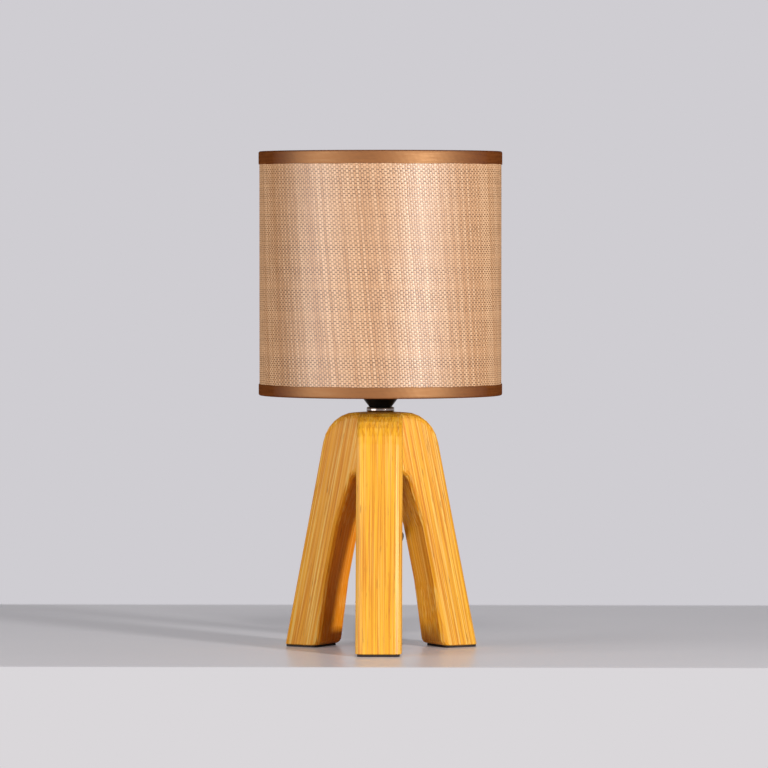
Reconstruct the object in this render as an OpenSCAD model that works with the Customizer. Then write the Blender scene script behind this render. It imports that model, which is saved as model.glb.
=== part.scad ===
// Tripod table lamp: three wooden legs, a small screw lampholder, a drum shade
// and a lead with an in-line switch. Millimetres, +Z up. The origin is on the
// floor under the lamp's axis. The front leg points along -Y.

/* [Tripod] */
// Height of the wooden tripod
base_h = 136.5; // [130:0.1:150]
// Radius of the feet's outer edge at the floor
foot_reach = 58.1; // [55:0.1:62]
// Lean of each leg from upright, in degrees
splay = 12.35; // [10:0.05:14]
// Width across each leg
leg_w = 26.2; // [24:0.2:28]
// Level thickness of a leg
leg_t = 21.7; // [19:0.1:22]
// Rounding of the legs' long edges
edge_r = 3.5; // [1:0.5:5]
// Radius of the outer bend from the hub into the leg
shoulder_r = 22; // [18:1:24]
// Thickness of the wood at the hub
hub_t = 34.8; // [31:0.1:36]
// Rounding of the arch under the hub
arch_r = 8; // [5:0.5:10]
// Distance from the lamp's axis to the corner of the arch
arch_reach = 10.1; // [9.6:0.1:11]
// Drop from the arch to where the leg has its own thickness
arch_drop = 31.5; // [26:0.5:36]
// Extra thickness of a foot at the floor
foot_flare = 2.7; // [0:0.1:4]
// Height at which the flare of the foot starts
flare_z = 38; // [25:1:45]
// Rounding of the foot's inner corner
foot_round = 4; // [2:0.5:6]
// Small bevel round the sole
sole_bevel = 0.7; // [0.3:0.1:1.2]
// Thickness of the foot pads
pad_t = 1.2; // [0.8:0.1:2]
// How far a pad stays inside the sole
pad_inset = 0.4; // [0.2:0.1:1.5]
// Diameter of the dowels in the mitres
dowel_d = 4; // [3:0.5:5]
// Length of the dowels
dowel_len = 16; // [12:1:18]

/* [Fixing] */
// Outside diameter of the threaded tube
tube_d = 10; // [9:0.5:10.5]
// Bore of the threaded tube
tube_bore = 7; // [6:0.5:7.5]
// Radial clearance round the threaded tube
tube_gap = 0.1; // [0.05:0.05:0.3]
// Diameter of the recess under the hub
recess_d = 20; // [19:0.5:21]
// Depth of the recess under the hub
recess_h = 7; // [6:0.5:9]
// Diameter of the washer
washer_d = 18; // [17:0.5:18.5]
// Thickness of the washer
washer_t = 1.5; // [1:0.1:2]
// Width across the flats of the nut
nut_af = 14; // [13:0.5:15]
// Thickness of the nut
nut_t = 3; // [2.5:0.5:3.5]
// Outside diameter of the bright collar
collar_d = 16; // [14:0.5:18]
// Rounding of the bright collar's edges
collar_edge = 1.1; // [0.4:0.1:1.2]
// Height of the bright collar
collar_h = 3; // [2:0.5:5]
// Length of the tapered nose of the bush under the tube
bush_nose = 8.5; // [8.5:0.5:8.5]
// Thickness of the bush's flange
bush_flange_t = 1; // [0.8:0.1:1.5]

/* [Lampholder] */
// Outside diameter of the cap where it meets the skirt
cap_d = 27; // [25:0.5:29]
// Diameter of the cap's foot on the collar
cap_foot_d = 12.8; // [12.6:0.1:14.5]
// Height of the cap
cap_h = 18; // [16:0.5:22]
// Wall of the cap and of the skirt
holder_wall = 2; // [1.6:0.1:2.4]
// Outside diameter of the skirt
skirt_d = 26.4; // [25:0.2:27]
// Height of the skirt above the cap
skirt_h = 30; // [28:1:34]
// Diameter of the flange that carries the shade
flange_d = 32; // [30:0.5:34]
// Thickness of the flange
flange_t = 2.4; // [1.8:0.1:3]
// Bore of the lamp socket
socket_bore = 12.2; // [11.8:0.1:12.6]
// Wall of the brass screw shell
shell_wall = 0.5; // [0.4:0.1:0.7]
// Depth of the lamp socket
socket_depth = 17; // [15:0.5:19]
// Outside diameter of the shade clamp ring
clamp_d = 37; // [35:0.5:40]
// Height of the shade clamp ring
clamp_h = 7; // [5:0.5:9]
// Radial clearance of the clamp ring on the skirt
clamp_gap = 0.08; // [0.05:0.01:0.1]
// Number of finger notches in the clamp ring
clamp_notches = 16; // [8:1:20]
// Diameter of the insulated cores
core_d = 2; // [1.6:0.1:2.2]

/* [Shade] */
// Outside diameter of the shade
shade_d = 140; // [125:1:160]
// Height of the shade
shade_h = 140; // [110:1:180]
// Height of the shade's lower edge above the hub
shade_gap = 9.7; // [6:0.1:12]
// Height of the top binding
tape_top_h = 7.5; // [5:0.5:12]
// Height of the bottom binding
tape_bottom_h = 6.5; // [5:0.5:12]
// Thickness of the binding
tape_t = 0.45; // [0.3:0.05:0.6]
// Height of the binding inside the shade
tape_inner_h = 4.5; // [3.5:0.5:6]
// Thickness of the woven cover
cover_t = 0.4; // [0.3:0.05:0.6]
// Thickness of the lining sheet
liner_t = 0.45; // [0.3:0.05:0.8]
// Width of the cover's lap at the back
lap_w = 10; // [6:1:16]
// Diameter of the wire of the top and bottom rings
ring_wire = 2.5; // [2:0.1:3]
// Diameter of the wire of the three arms
arm_wire = 2.8; // [2.4:0.1:3.2]
// Thickness of the fitting plate
plate_t = 1.2; // [1:0.1:1.6]
// Outside diameter of the fitting plate
plate_d = 44; // [42:0.5:48]
// Radial play of the fitting plate round the skirt
plate_gap = 0.4; // [0.3:0.05:0.8]

/* [Lead] */
// Diameter of the lead
lead_d = 4.5; // [4.5:0.1:4.5]
// Turn of the put-away lead about the lamp's axis, in degrees
lay_turn = 1.2; // [0:0.1:2]
// Length of the tapered sleeves at the switch
sleeve_len = 20; // [20:1:20]

/* [Switch] */
// Length of the switch housing
sw_l = 52; // [52:1:52]
// Width of the switch housing
sw_w = 25; // [24:0.5:26]
// Width of the housing's ends
sw_end_w = 14; // [12:0.5:16]
// Height of the lower half
sw_base_h = 7.5; // [7.5:0.5:7.5]
// Height of the upper half
sw_cover_h = 9; // [8.5:0.5:10]
// Wall of the switch housing
sw_wall = 1.6; // [1.4:0.1:1.8]
// Width of the rocker
rocker_w = 10; // [9:0.5:11]
// Radius of the rocker's ends about its pivot
rocker_r = 9; // [8:0.5:9.5]
// Tilt of the rocker to each side, in degrees
rocker_tilt = 8; // [4:0.5:10]
// Gap round the rocker
rocker_gap = 0.2; // [0.15:0.05:0.4]
// Diameter of the rocker's pivots
pivot_d = 3; // [2.5:0.1:3.2]
// Radial clearance of the pivots
pivot_gap = 0.05; // [0.03:0.01:0.1]

/* [Plug] */
// Width of the plug's body at the blades
plug_w = 24; // [22:0.5:25]
// Height of the plug's body
plug_h = 16; // [16:0.5:16]
// Length of the plug's body
plug_l = 30; // [28:1:30]
// Length of the plug's ribbed boot
boot_len = 24; // [24:1:24]
// Spacing of the blades
blade_pitch = 12.7; // [12:0.1:13]
// Length of the blades outside the body
blade_len = 17; // [15:0.5:18]
// Width of a blade
blade_w = 6.35; // [6:0.05:6.6]
// Thickness of a blade
blade_t = 1.5; // [1.3:0.1:1.6]

/* [Hidden] */

front_turn = -90;
right_turn = 30;
left_turn = 150;
leg_share = 120;
arc_steps = 6;
corner_steps = 3;
big = 200;
// Gap left between parts that bear on each other
seat_gap = 0.05;

// Heights up the lamp
under_z = base_h - hub_t;
recess_top = under_z + recess_h;
cap_z = base_h + collar_h;
skirt_z = cap_z + cap_h;
plate_z = skirt_z + flange_t + seat_gap;
skirt_top = skirt_z + skirt_h;
shade_z = base_h + shade_gap;
shade_top = shade_z + shade_h;
nut_z = recess_top - washer_t - nut_t;
tube_low = nut_z - 1.5;
tube_high = cap_z + 9;
bush_low = tube_low - bush_flange_t - bush_nose;

// Shade radii, from the outside in
binding_r = shade_d / 2;
cover_r = binding_r - tape_t - seat_gap;
liner_r = cover_r - cover_t - seat_gap;
liner_in = liner_r - liner_t;
wire_r = liner_in - seat_gap - ring_wire / 2;
binding_in = wire_r - ring_wire / 2 - seat_gap - tape_t;

// Put-away lead, in the frame turned by lay_turn
lead_r = lead_d / 2;
lay_x = -1.35;
fold_r = 11.3;
run_len = 90;
near_y = 127;
far_y = near_y + run_len;
layer_pitch = 5.05;
layers = 4;
waist_in = 2.4;
tie_t = 0.8;
tie_w = 6;
tie_gap = 0.25;
waist_lift = tie_t + tie_gap + seat_gap;
hank_lead_in = 9;
fold_steps = 6;
run_marks = [0.2, 0.35, 0.5, 0.65, 0.8];
switch_y = 126;
switch_z = 19.9;
plug_tip_y = 43;
plug_x = -1.1;

// Route of the lead from the hub to the switch
drop_route = [
    [0, 0, bush_low], [0, 0, bush_low - 5], [0.8, 1.4, 81.5], [2.8, 5, 74.7], [5.5, 10, 69.4],
    [7.7, 14.5, 66.8], [9.6, 19, 65.6], [11, 23, 65], [11.9, 27, 64.3], [12.2, 31, 63.3],
    [11.9, 35, 61.7], [11, 39, 59.3], [9.6, 43, 55.9], [7.9, 47, 51.5], [5.9, 51.5, 46.1],
    [4, 56, 40.6], [2.4, 60, 36.1], [1, 64, 32.4], [-0.15, 68, 29.55], [-0.95, 72, 28],
    [-1.35, 76, 27.4], [-1.35, 80, 27.4]
];
// Route from the switch down on to the hank
bridge_route = [
    [-1.35, 172, 27.4], [-1.35, 176, 27.4], [-1, 180, 27.1], [0, 184, 26.2],
    [1.9, 188, 24.5], [4.3, 191, 22.4], [6.7, 194, 20.3], [8.6, 198, 18.6],
    [9.6, 202, 17.7], [9.95, 206, 17.4], [9.95, 208, 17.4]
];
// Route from the hank to the plug
tail_route = [
    [-12.65, 127, 2.25], [-12.65, 122, 2.25], [-12.4, 112, 2.25], [-11.4, 102, 2.25],
    [-9.5, 92, 2.25], [-7, 82, 2.6], [-4.5, 72, 3.8], [-2.5, 62, 5.8],
    [-1.3, 53, 7.6], [-1.1, 47.5, 8], [-1.1, 43, 8]
];

// ---- Shared shapes ----

// Joins a list of closed rings of equal length into one solid
module skin(rings) {
    n = len(rings[0]);
    m = len(rings);
    points = [for (ring = rings) for (p = ring) p];
    sides = [
        for (k = [0 : m - 2]) for (i = [0 : n - 1])
        let (a = k * n + i, b = k * n + (i + 1) % n)
        each [[a, b, b + n], [a, b + n, a + n]]
    ];
    first = [for (i = [n - 1 : -1 : 0]) i];
    last = [for (i = [0 : n - 1]) (m - 1) * n + i];
    polyhedron(points, concat([first], sides, [last]));
}

function unit(v) = v / norm(v);

function heading(path, i) =
    unit(path[min(i + 1, len(path) - 1)] - path[max(i - 1, 0)]);

function square_to(v, along) = unit(v - along * (v * along));

// Rings of a round tube along a path, kept from twisting
function tube_rings(path, radius, sides, start) = [
    for (
        i = 0, up = square_to(start, heading(path, 0));
        i < len(path);
        i = i + 1,
        up = i < len(path) ? square_to(up, heading(path, i)) : up
    )
    let (side = cross(heading(path, i), up))
    [
        for (k = [0 : sides - 1])
        let (a = 360 * k / sides)
        path[i] + radius * (cos(a) * up + sin(a) * side)
    ]
];

module lead_tube(path, sides, start) {
    color("#2b2320") skin(tube_rings(path, lead_r, sides, start));
}

module rounded_plate(w, l, r) {
    square([w - 2 * r, l], center = true);
    square([w, l - 2 * r], center = true);
    for (x = [-1, 1], y = [-1, 1])
        translate([x * (w / 2 - r), y * (l / 2 - r)]) circle(r, $fn = 32);
}

// ---- Wooden tripod ----

function out_r(z) = foot_reach - z * tan(splay);
function in_r(z) = out_r(z) - leg_t - foot_flare * max(0, 1 - z / flare_z);

function arc_point(centre, r, a) = centre + r * [cos(a), sin(a)];

// Pairs of outer and inner points, as radius and height, from the hub to the sole
function leg_stations() =
    let (
        shoulder = [out_r(base_h) - shoulder_r * tan((90 - splay) / 2), base_h - shoulder_r],
        knee_z = under_z - arch_drop,
        knee = [in_r(knee_z), knee_z],
        lean = atan2(knee[0] - arch_reach, arch_drop),
        arch = [arch_reach - arch_r * tan((90 - lean) / 2), under_z - arch_r],
        across = leg_t * cos(splay) * [cos(splay), sin(splay)],
        flare = [in_r(flare_z), flare_z],
        sole_in = in_r(pad_t + foot_round) + foot_round
    )
    [
        [[-1, base_h], [-1, under_z]],
        for (k = [0 : arc_steps])
            [
                arc_point(shoulder, shoulder_r, 90 - k * (90 - splay) / arc_steps),
                arc_point(arch, arch_r, 90 - k * (90 - lean) / arc_steps)
            ],
        [knee + across, knee],
        [flare + across, flare],
        for (a = [0 : 22.5 : 67.5])
            let (z = pad_t + foot_round * (1 - sin(a)))
            [[out_r(z), z], [sole_in - foot_round * cos(a), z]],
        [[out_r(pad_t), pad_t + sole_bevel * 0.6], [sole_in - 1, pad_t + sole_bevel * 0.6]],
        [[out_r(pad_t) - sole_bevel, pad_t], [sole_in, pad_t]]
    ];

// Rounded rectangle that spans one pair of points, across the leg's width
function leg_ring(outer, inner, inset) =
    let (
        mid = (outer + inner) / 2,
        half = norm(outer - inner) / 2,
        dir = unit(outer - inner),
        side = leg_w / 2 - inset,
        r = edge_r
    )
    [
        for (q = [0 : 3]) for (k = [0 : corner_steps])
        let (
            a = 90 * q + 90 * k / corner_steps,
            u = (q == 0 || q == 3 ? 1 : -1) * (half - r) + r * cos(a),
            v = (q < 2 ? 1 : -1) * (side - r) + r * sin(a)
        )
        [mid[0] + u * dir[0], v, mid[1] + u * dir[1]]
    ];

module leg_blank() {
    stations = leg_stations();
    last = len(stations) - 1;
    skin([
        for (i = [0 : last])
        leg_ring(stations[i][0], stations[i][1], i == last ? sole_bevel : 0)
    ]);
}

// The part of the hub that belongs to one leg, between its two mitres
module mitre_wedge() {
    reach = big * [cos(leg_share / 2), sin(leg_share / 2)];
    linear_extrude(base_h + big)
        polygon([[0, 0], [reach[0], -reach[1]], [big, -reach[1]], [big, reach[1]], reach]);
}

// Dowels lie square to the mitres, midway along them
module mitre_dowel(extra_r, extra_l) {
    along = leg_w / 2 / sin(leg_share / 2) * 0.66;
    translate([along * cos(leg_share / 2), along * sin(leg_share / 2), (recess_top + base_h) / 2])
        rotate([90, 0, leg_share / 2])
        cylinder(h = dowel_len + extra_l, r = dowel_d / 2 + extra_r, center = true, $fn = 32);
}

module leg(turn) {
    color("#d99a3a") rotate([0, 0, turn]) difference() {
        intersection() {
            leg_blank();
            mitre_wedge();
        }
        translate([0, 0, under_z - big / 2])
            cylinder(h = big, r = tube_d / 2 + tube_gap, $fn = 48);
        translate([0, 0, under_z - big / 2])
            cylinder(h = big / 2 + recess_h, r = recess_d / 2, $fn = 64);
        mitre_dowel(tube_gap / 2, 1);
        mirror([0, 1, 0]) mitre_dowel(tube_gap / 2, 1);
    }
}

module leg_front() { leg(front_turn); }
module leg_left() { leg(left_turn); }
module leg_right() { leg(right_turn); }

module foot_pad(turn) {
    sole_out = out_r(pad_t) - sole_bevel;
    sole_in = in_r(pad_t + foot_round) + foot_round;
    color("#1a1817") rotate([0, 0, turn])
        translate([(sole_out + sole_in) / 2, 0, 0])
        linear_extrude(pad_t)
        rounded_plate(sole_out - sole_in - 2 * pad_inset + 2, leg_w - 2 * sole_bevel - 2 * pad_inset,
            edge_r - 0.5);
}

module foot_pad_front() { foot_pad(front_turn); }
module foot_pad_left() { foot_pad(left_turn); }
module foot_pad_right() { foot_pad(right_turn); }

module hub_dowels() {
    color("#c9a066")
        for (turn = [front_turn, right_turn, left_turn])
            rotate([0, 0, turn]) mitre_dowel(0, 0);
}

// ---- Fixing on the hub ----

module threaded_tube() {
    color("#b8b4a8") translate([0, 0, tube_low]) difference() {
        cylinder(h = tube_high - tube_low, d = tube_d, $fn = 48);
        translate([0, 0, -1]) cylinder(h = tube_high - tube_low + 2, d = tube_bore, $fn = 48);
    }
}

module hub_washer() {
    color("#b8b8b8") translate([0, 0, recess_top - washer_t]) difference() {
        cylinder(h = washer_t, d = washer_d, $fn = 48);
        translate([0, 0, -1]) cylinder(h = washer_t + 2, r = tube_d / 2 + tube_gap, $fn = 48);
    }
}

module hub_nut() {
    color("#c8b070") translate([0, 0, nut_z]) difference() {
        cylinder(h = nut_t, d = nut_af / cos(30), $fn = 6);
        translate([0, 0, -1]) cylinder(h = nut_t + 2, r = tube_d / 2 + seat_gap, $fn = 48);
    }
}

module collar() {
    edge = collar_edge;
    hole = tube_d / 2 + tube_gap;
    color("#d8d8dc") translate([0, 0, base_h]) rotate_extrude($fn = 64) {
        translate([hole, 0]) square([collar_d / 2 - edge - hole, collar_h]);
        translate([hole, edge]) square([collar_d / 2 - hole, collar_h - 2 * edge]);
        for (z = [edge, collar_h - edge])
            translate([collar_d / 2 - edge, z]) circle(edge, $fn = 32);
    }
}

module tube_bush() {
    stem = 10.5;
    stem_r = tube_bore / 2 - seat_gap;
    hole = lead_r + seat_gap;
    color("#1c1a1a") rotate_extrude($fn = 48) polygon([
        [hole, bush_low], [lead_r + 0.7, bush_low], [lead_r + 1.6, bush_low + bush_nose],
        [tube_d / 2, bush_low + bush_nose], [tube_d / 2, tube_low],
        [stem_r, tube_low], [stem_r, tube_low + stem], [hole, tube_low + stem]
    ]);
}

// ---- Lampholder ----

// Outside of the cap: a foot, a rounded dome and a short straight wall
function cap_profile(inset) =
    let (foot = cap_foot_d / 2 - inset, rim = cap_d / 2 - inset, straight = 4)
    concat(
        [[0, 0], [foot, 0]],
        [
            for (a = [0 : 10 : 90])
            [foot + (rim - foot) * sin(a), (cap_h - straight) * a / 90]
        ],
        [[rim, cap_h], [0, cap_h]]
    );

module holder_cap() {
    boss_h = tube_high - cap_z;
    color("#161414") translate([0, 0, cap_z]) difference() {
        rotate_extrude($fn = 72) difference() {
            polygon(cap_profile(0));
            intersection() {
                polygon(cap_profile(holder_wall));
                translate([0, boss_h]) square([cap_d, cap_h]);
            }
        }
        translate([0, 0, -1]) cylinder(h = cap_h, r = tube_d / 2 + seat_gap, $fn = 48);
        grub_hole(0.05);
    }
}

// The grub screw goes in from the back, through the cap's boss to the tube
module grub_hole(gap) {
    translate([0, tube_d / 2 + seat_gap - 0.05, 4.5])
        rotate([-90, 0, 0]) cylinder(h = cap_d, d = 3 + 2 * gap, $fn = 24);
}

module grub_screw() {
    color("#a8a8a8") translate([0, tube_d / 2 + 0.1, cap_z + 4.5]) rotate([-90, 0, 0])
        difference() {
            cylinder(h = 3.2, d = 3, $fn = 24);
            translate([0, 0, 2.2]) cylinder(h = 2, d = 1.7, $fn = 6);
        }
}

module holder_skirt() {
    inner = skirt_d / 2 - holder_wall;
    color("#1a1818") translate([0, 0, skirt_z]) rotate_extrude($fn = 72) polygon([
        [inner, 0], [cap_d / 2, 0], [flange_d / 2, 0.8], [flange_d / 2, flange_t],
        [skirt_d / 2, flange_t], [skirt_d / 2, skirt_h - 0.8], [skirt_d / 2 - 0.8, skirt_h],
        [inner, skirt_h]
    ]);
}

shell_out = socket_bore / 2 + shell_wall;
shell_cone = 2.6;
socket_floor = skirt_top - 1 - socket_depth;
insert_low = skirt_z + 0.5;
terminal_x = 6.6;

module holder_insert() {
    rim = skirt_d / 2 - holder_wall - seat_gap;
    floor_h = socket_floor - insert_low;
    color("#e8e0cc") difference() {
        translate([0, 0, insert_low]) union() {
            cylinder(h = floor_h, r = rim, $fn = 72);
            cylinder(h = floor_h + socket_depth, r = shell_out + seat_gap + 1.4, $fn = 64);
        }
        translate([0, 0, socket_floor])
            cylinder(h = socket_depth + 1, r = shell_out + seat_gap, $fn = 64);
        translate([0, 0, insert_low - 1]) cylinder(h = big, r = 1.7, $fn = 32);
        for (x = [-1, 1])
            translate([x * terminal_x, 0, insert_low - 1]) cylinder(h = 6, r = 1.5 + seat_gap, $fn = 32);
    }
}

// Drawn shell: a straight wall on a cone, with a hole for the contact in its floor
module screw_shell() {
    bore_r = socket_bore / 2;
    color("#c9a24a") translate([0, 0, socket_floor]) rotate_extrude($fn = 64) polygon([
        [2.6, 0], [3.6, 0], [shell_out, shell_cone - 0.2], [shell_out, socket_depth],
        [bore_r, socket_depth], [bore_r, shell_cone], [3.3, shell_wall], [2.6, shell_wall]
    ]);
}

// Rivet through the insert's floor with a domed head in the socket
module centre_contact() {
    head_z = socket_floor + 0.05;
    color("#d0a850") {
        translate([0, 0, insert_low - 0.6]) cylinder(h = head_z - insert_low + 1, r = 1.6, $fn = 32);
        translate([0, 0, insert_low - 0.6]) cylinder(h = 0.55, r = 2.4, $fn = 32);
        translate([0, 0, head_z]) cylinder(h = 1.2, r = 2.2, $fn = 32);
        translate([0, 0, head_z + 1.2]) intersection() {
            translate([0, 0, -2.4]) sphere(r = 3.2, $fn = 48);
            cylinder(h = 2, r = 2.2, $fn = 32);
        }
    }
}

module terminal_screws() {
    color("#c8c8c8") for (x = [-1, 1]) translate([x * terminal_x, 0, insert_low]) {
        translate([0, 0, -0.5]) cylinder(h = 5, r = 1.5, $fn = 32);
        translate([0, 0, -1.8]) difference() {
            cylinder(h = 1.75, r = 2.7, $fn = 32);
            translate([-3, -0.35, -1]) cube([6, 0.7, 1.7]);
        }
    }
}

// A core rises from the end of the lead and lies beside its terminal screw
module core_wire(x) {
    low = tube_high + 2.2;
    high = insert_low - core_d / 2 - 0.15;
    reach = terminal_x - 2.7 - core_d / 2 - 0.1;
    path = [
        [x * core_d / 2 * 1.05, 0, low], [x * core_d / 2 * 1.05, 0, low + 1.5],
        [x * reach * 0.9, 0.6, (low + high) / 2], [x * (reach + 1), 3.2, high - 0.4],
        [x * (terminal_x - 1), 4, high], [x * (terminal_x + 2), 4, high]
    ];
    skin(tube_rings(path, core_d / 2, 10, [0, 1, 0]));
}

module wire_live() { color("#1c1a1a") core_wire(1); }
module wire_neutral() { color("#e4e0d6") core_wire(-1); }

module shade_clamp() {
    notch_r = 1.1;
    inner = skirt_d / 2 + clamp_gap;
    color("#1a1818") translate([0, 0, plate_z + plate_t + seat_gap]) difference() {
        rotate_extrude($fn = 72) polygon([
            [inner, 0], [clamp_d / 2, 0], [clamp_d / 2, clamp_h - 1.2],
            [clamp_d / 2 - 1.2, clamp_h], [inner, clamp_h]
        ]);
        for (k = [1 : clamp_notches])
            rotate([0, 0, 360 * k / clamp_notches])
                translate([clamp_d / 2 + notch_r * 0.4, 0, 1.2])
                cylinder(h = clamp_h, r = notch_r, $fn = 24);
    }
}

// ---- Shade ----

arm_turns = [90, 210, 330];

module arm(gap) {
    high = [plate_d / 2 - 2.5, plate_z - arm_wire / 2 + 0.3];
    low = [wire_r - 0.4, shade_z + tape_t + seat_gap + ring_wire / 2];
    slope = high - low;
    translate([low[0], 0, low[1]])
        rotate([0, -atan2(-slope[0], slope[1]), 0])
        cylinder(h = norm(slope), r = arm_wire / 2 + gap, $fn = 32);
}

module shade_carrier() {
    color("#d8d6d0") {
        translate([0, 0, plate_z]) difference() {
            cylinder(h = plate_t, d = plate_d, $fn = 72);
            translate([0, 0, -1])
                cylinder(h = plate_t + 2, r = skirt_d / 2 + plate_gap, $fn = 72);
        }
        for (a = arm_turns) rotate([0, 0, a]) arm(0);
        wire_ring(shade_z + tape_t + seat_gap + ring_wire / 2);
    }
}

module wire_ring(z) {
    translate([0, 0, z]) rotate_extrude($fn = 96)
        translate([wire_r, 0]) circle(d = ring_wire, $fn = 32);
}

module shade_top_ring() {
    color("#d8d6d0") wire_ring(shade_top - tape_t - seat_gap - ring_wire / 2);
}

module drum(outer, wall, low, high) {
    translate([0, 0, low]) difference() {
        cylinder(h = high - low, r = outer, $fn = 120);
        translate([0, 0, -1]) cylinder(h = high - low + 2, r = outer - wall, $fn = 120);
    }
}

sheet_low = shade_z + tape_t + seat_gap;
sheet_high = shade_top - tape_t - seat_gap;

module shade_liner() { color("#efe6d8") drum(liner_r, liner_t, sheet_low, sheet_high); }

module shade_cover() {
    lap_low = shade_z + tape_bottom_h + 0.2;
    lap_high = shade_top - tape_top_h - 0.2;
    color("#c89b72") {
        drum(cover_r, cover_t, sheet_low, sheet_high);
        intersection() {
            drum(cover_r + cover_t, 2 * cover_t - 0.1, lap_low, lap_high);
            translate([-lap_w / 2, 0, lap_low]) cube([lap_w, binding_r, lap_high - lap_low]);
        }
    }
}

// Binding folded over the edge of the shade, in section: outside, edge and inside
module binding(outer_h, edge_z, up) {
    translate([0, 0, edge_z]) rotate_extrude($fn = 120) turn_over(!up) {
        translate([binding_r - tape_t, 0]) square([tape_t, outer_h]);
        translate([binding_in, 0]) square([binding_r - binding_in, tape_t]);
        translate([binding_in, 0]) square([tape_t, tape_inner_h]);
    }
}

module turn_over(over) {
    if (over) mirror([0, 1]) children();
    else children();
}

module tape_top() { color("#9a6a3c") binding(tape_top_h, shade_top, false); }

module tape_bottom() {
    color("#9a6a3c") difference() {
        binding(tape_bottom_h, shade_z, true);
        for (a = arm_turns) rotate([0, 0, a]) arm(0.3);
    }
}

// ---- Lead ----

module lay() { rotate([0, 0, lay_turn]) children(); }

module lead_inside() {
    color("#2b2320") translate([0, 0, bush_low])
        cylinder(h = tube_high + 2.2 - bush_low, r = lead_r, $fn = 24);
}

module lead_drop() { lay() lead_tube(drop_route, 8, [1, 0, 0]); }
module lead_bridge() { lay() lead_tube(bridge_route, 8, [0, 0, 1]); }
module lead_tail() { lay() lead_tube(tail_route, 8, [0, 0, 1]); }

// Share of the waist at a place u along a run: nothing near the folds, all at the middle
function waist(u) = (1 - cos(360 * max(0, min(1, (u - 0.2) / 0.6)))) / 2;
function ease(u) = (1 - cos(180 * max(0, min(1, (u - 0.2) / 0.6)))) / 2;
function layer_z(level) = lead_r + layer_pitch * (level - 1);

function fold_point(side, y, z, a) =
    [lay_x + side * fold_r * cos(a), y + side * fold_r * sin(a), z];

function run_point(side, u, z) = [
    lay_x + side * (fold_r - waist_in * waist(u)),
    side > 0 ? near_y + run_len * u : far_y - run_len * u,
    z + waist_lift * waist(u)
];

// One loop from the far fold at a layer; every loop but the last goes down a layer
function hank_loop(level) = concat(
    [for (k = [0 : fold_steps]) fold_point(1, far_y, layer_z(level), 180 * k / fold_steps)],
    [for (u = run_marks) run_point(-1, u, layer_z(level))],
    level == 1 ? [] :
        [for (k = [0 : fold_steps]) fold_point(-1, near_y, layer_z(level), 180 * k / fold_steps)],
    level == 1 ? [] :
        [for (u = run_marks) run_point(1, u, layer_z(level) - layer_pitch * ease(u))]
);

hank_path = concat(
    [[lay_x + fold_r, far_y - hank_lead_in, layer_z(layers)]],
    [for (level = [layers : -1 : 1]) each hank_loop(level)],
    [[lay_x - fold_r, near_y, layer_z(1)]]
);

// Least gap between parts of the hank that aren't neighbours along it
hank_gap = min([
    for (i = [0 : len(hank_path) - 7]) for (j = [i + 6 : len(hank_path) - 1])
    norm(hank_path[i] - hank_path[j]) - lead_d
]);
echo(hank_gap = hank_gap, hank_rings = len(hank_path));

module lead_hank() { lay() lead_tube(hank_path, 6, [0, 0, 1]); }

module hank_tie() {
    inner_w = 2 * (fold_r - waist_in + lead_r + tie_gap);
    inner_low = seat_gap + tie_t;
    inner_high = layer_z(layers) + waist_lift + lead_r + tie_gap;
    mid = (inner_low + inner_high) / 2;
    inner_h = inner_high - inner_low;
    color("#111111") lay()
        translate([lay_x, (near_y + far_y + tie_w) / 2, mid]) rotate([90, 0, 0])
        linear_extrude(tie_w) difference() {
            rounded_plate(inner_w + 2 * tie_t, inner_h + 2 * tie_t, lead_r + tie_t);
            rounded_plate(inner_w, inner_h, lead_r);
        }
}

// ---- Switch on the lead ----

pivot_z = 4.2;
screw_places = [[6.2, 15], [-6.2, -15]];
neck_r = 3;

module at_switch() {
    lay() translate([lay_x, switch_y, switch_z]) children();
}

module switch_outline(inset) {
    sag = (sw_w - sw_end_w) / 2;
    r = (sw_l * sw_l / 4 + sag * sag) / (2 * sag);
    intersection() {
        square([sw_w, sw_l - 2 * inset], center = true);
        translate([r - sw_w / 2, 0]) circle(r - inset, $fn = 180);
        translate([sw_w / 2 - r, 0]) circle(r - inset, $fn = 180);
    }
}

module neck_holes(z) {
    translate([0, 0, z]) rotate([90, 0, 0])
        cylinder(h = sw_l + 2, r = neck_r + seat_gap, center = true, $fn = 32);
}

module switch_base() {
    color("#232022") at_switch() difference() {
        union() {
            difference() {
                linear_extrude(sw_base_h) switch_outline(0);
                translate([0, 0, sw_wall]) linear_extrude(sw_base_h) switch_outline(sw_wall);
            }
            for (p = screw_places) translate(p) cylinder(h = sw_base_h, r = 2.4, $fn = 32);
        }
        neck_holes(sw_base_h);
        for (p = screw_places) translate([p[0], p[1], -1]) {
            cylinder(h = sw_base_h + 2, r = 1.35, $fn = 24);
            cylinder(h = 3, r = 2, $fn = 24);
        }
    }
}

module cover_crown() {
    long_drop = 2.5;
    side_drop = 2;
    long_r = (sw_l * sw_l / 4 + long_drop * long_drop) / (2 * long_drop);
    side_r = (sw_w * sw_w / 4 + side_drop * side_drop) / (2 * side_drop);
    intersection() {
        linear_extrude(sw_cover_h) switch_outline(0);
        translate([0, 0, sw_cover_h - long_r]) rotate([0, 90, 0])
            cylinder(h = big, r = long_r, center = true, $fn = 360);
        translate([0, 0, sw_cover_h - side_r]) rotate([90, 0, 0])
            cylinder(h = big, r = side_r, center = true, $fn = 180);
    }
}

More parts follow.
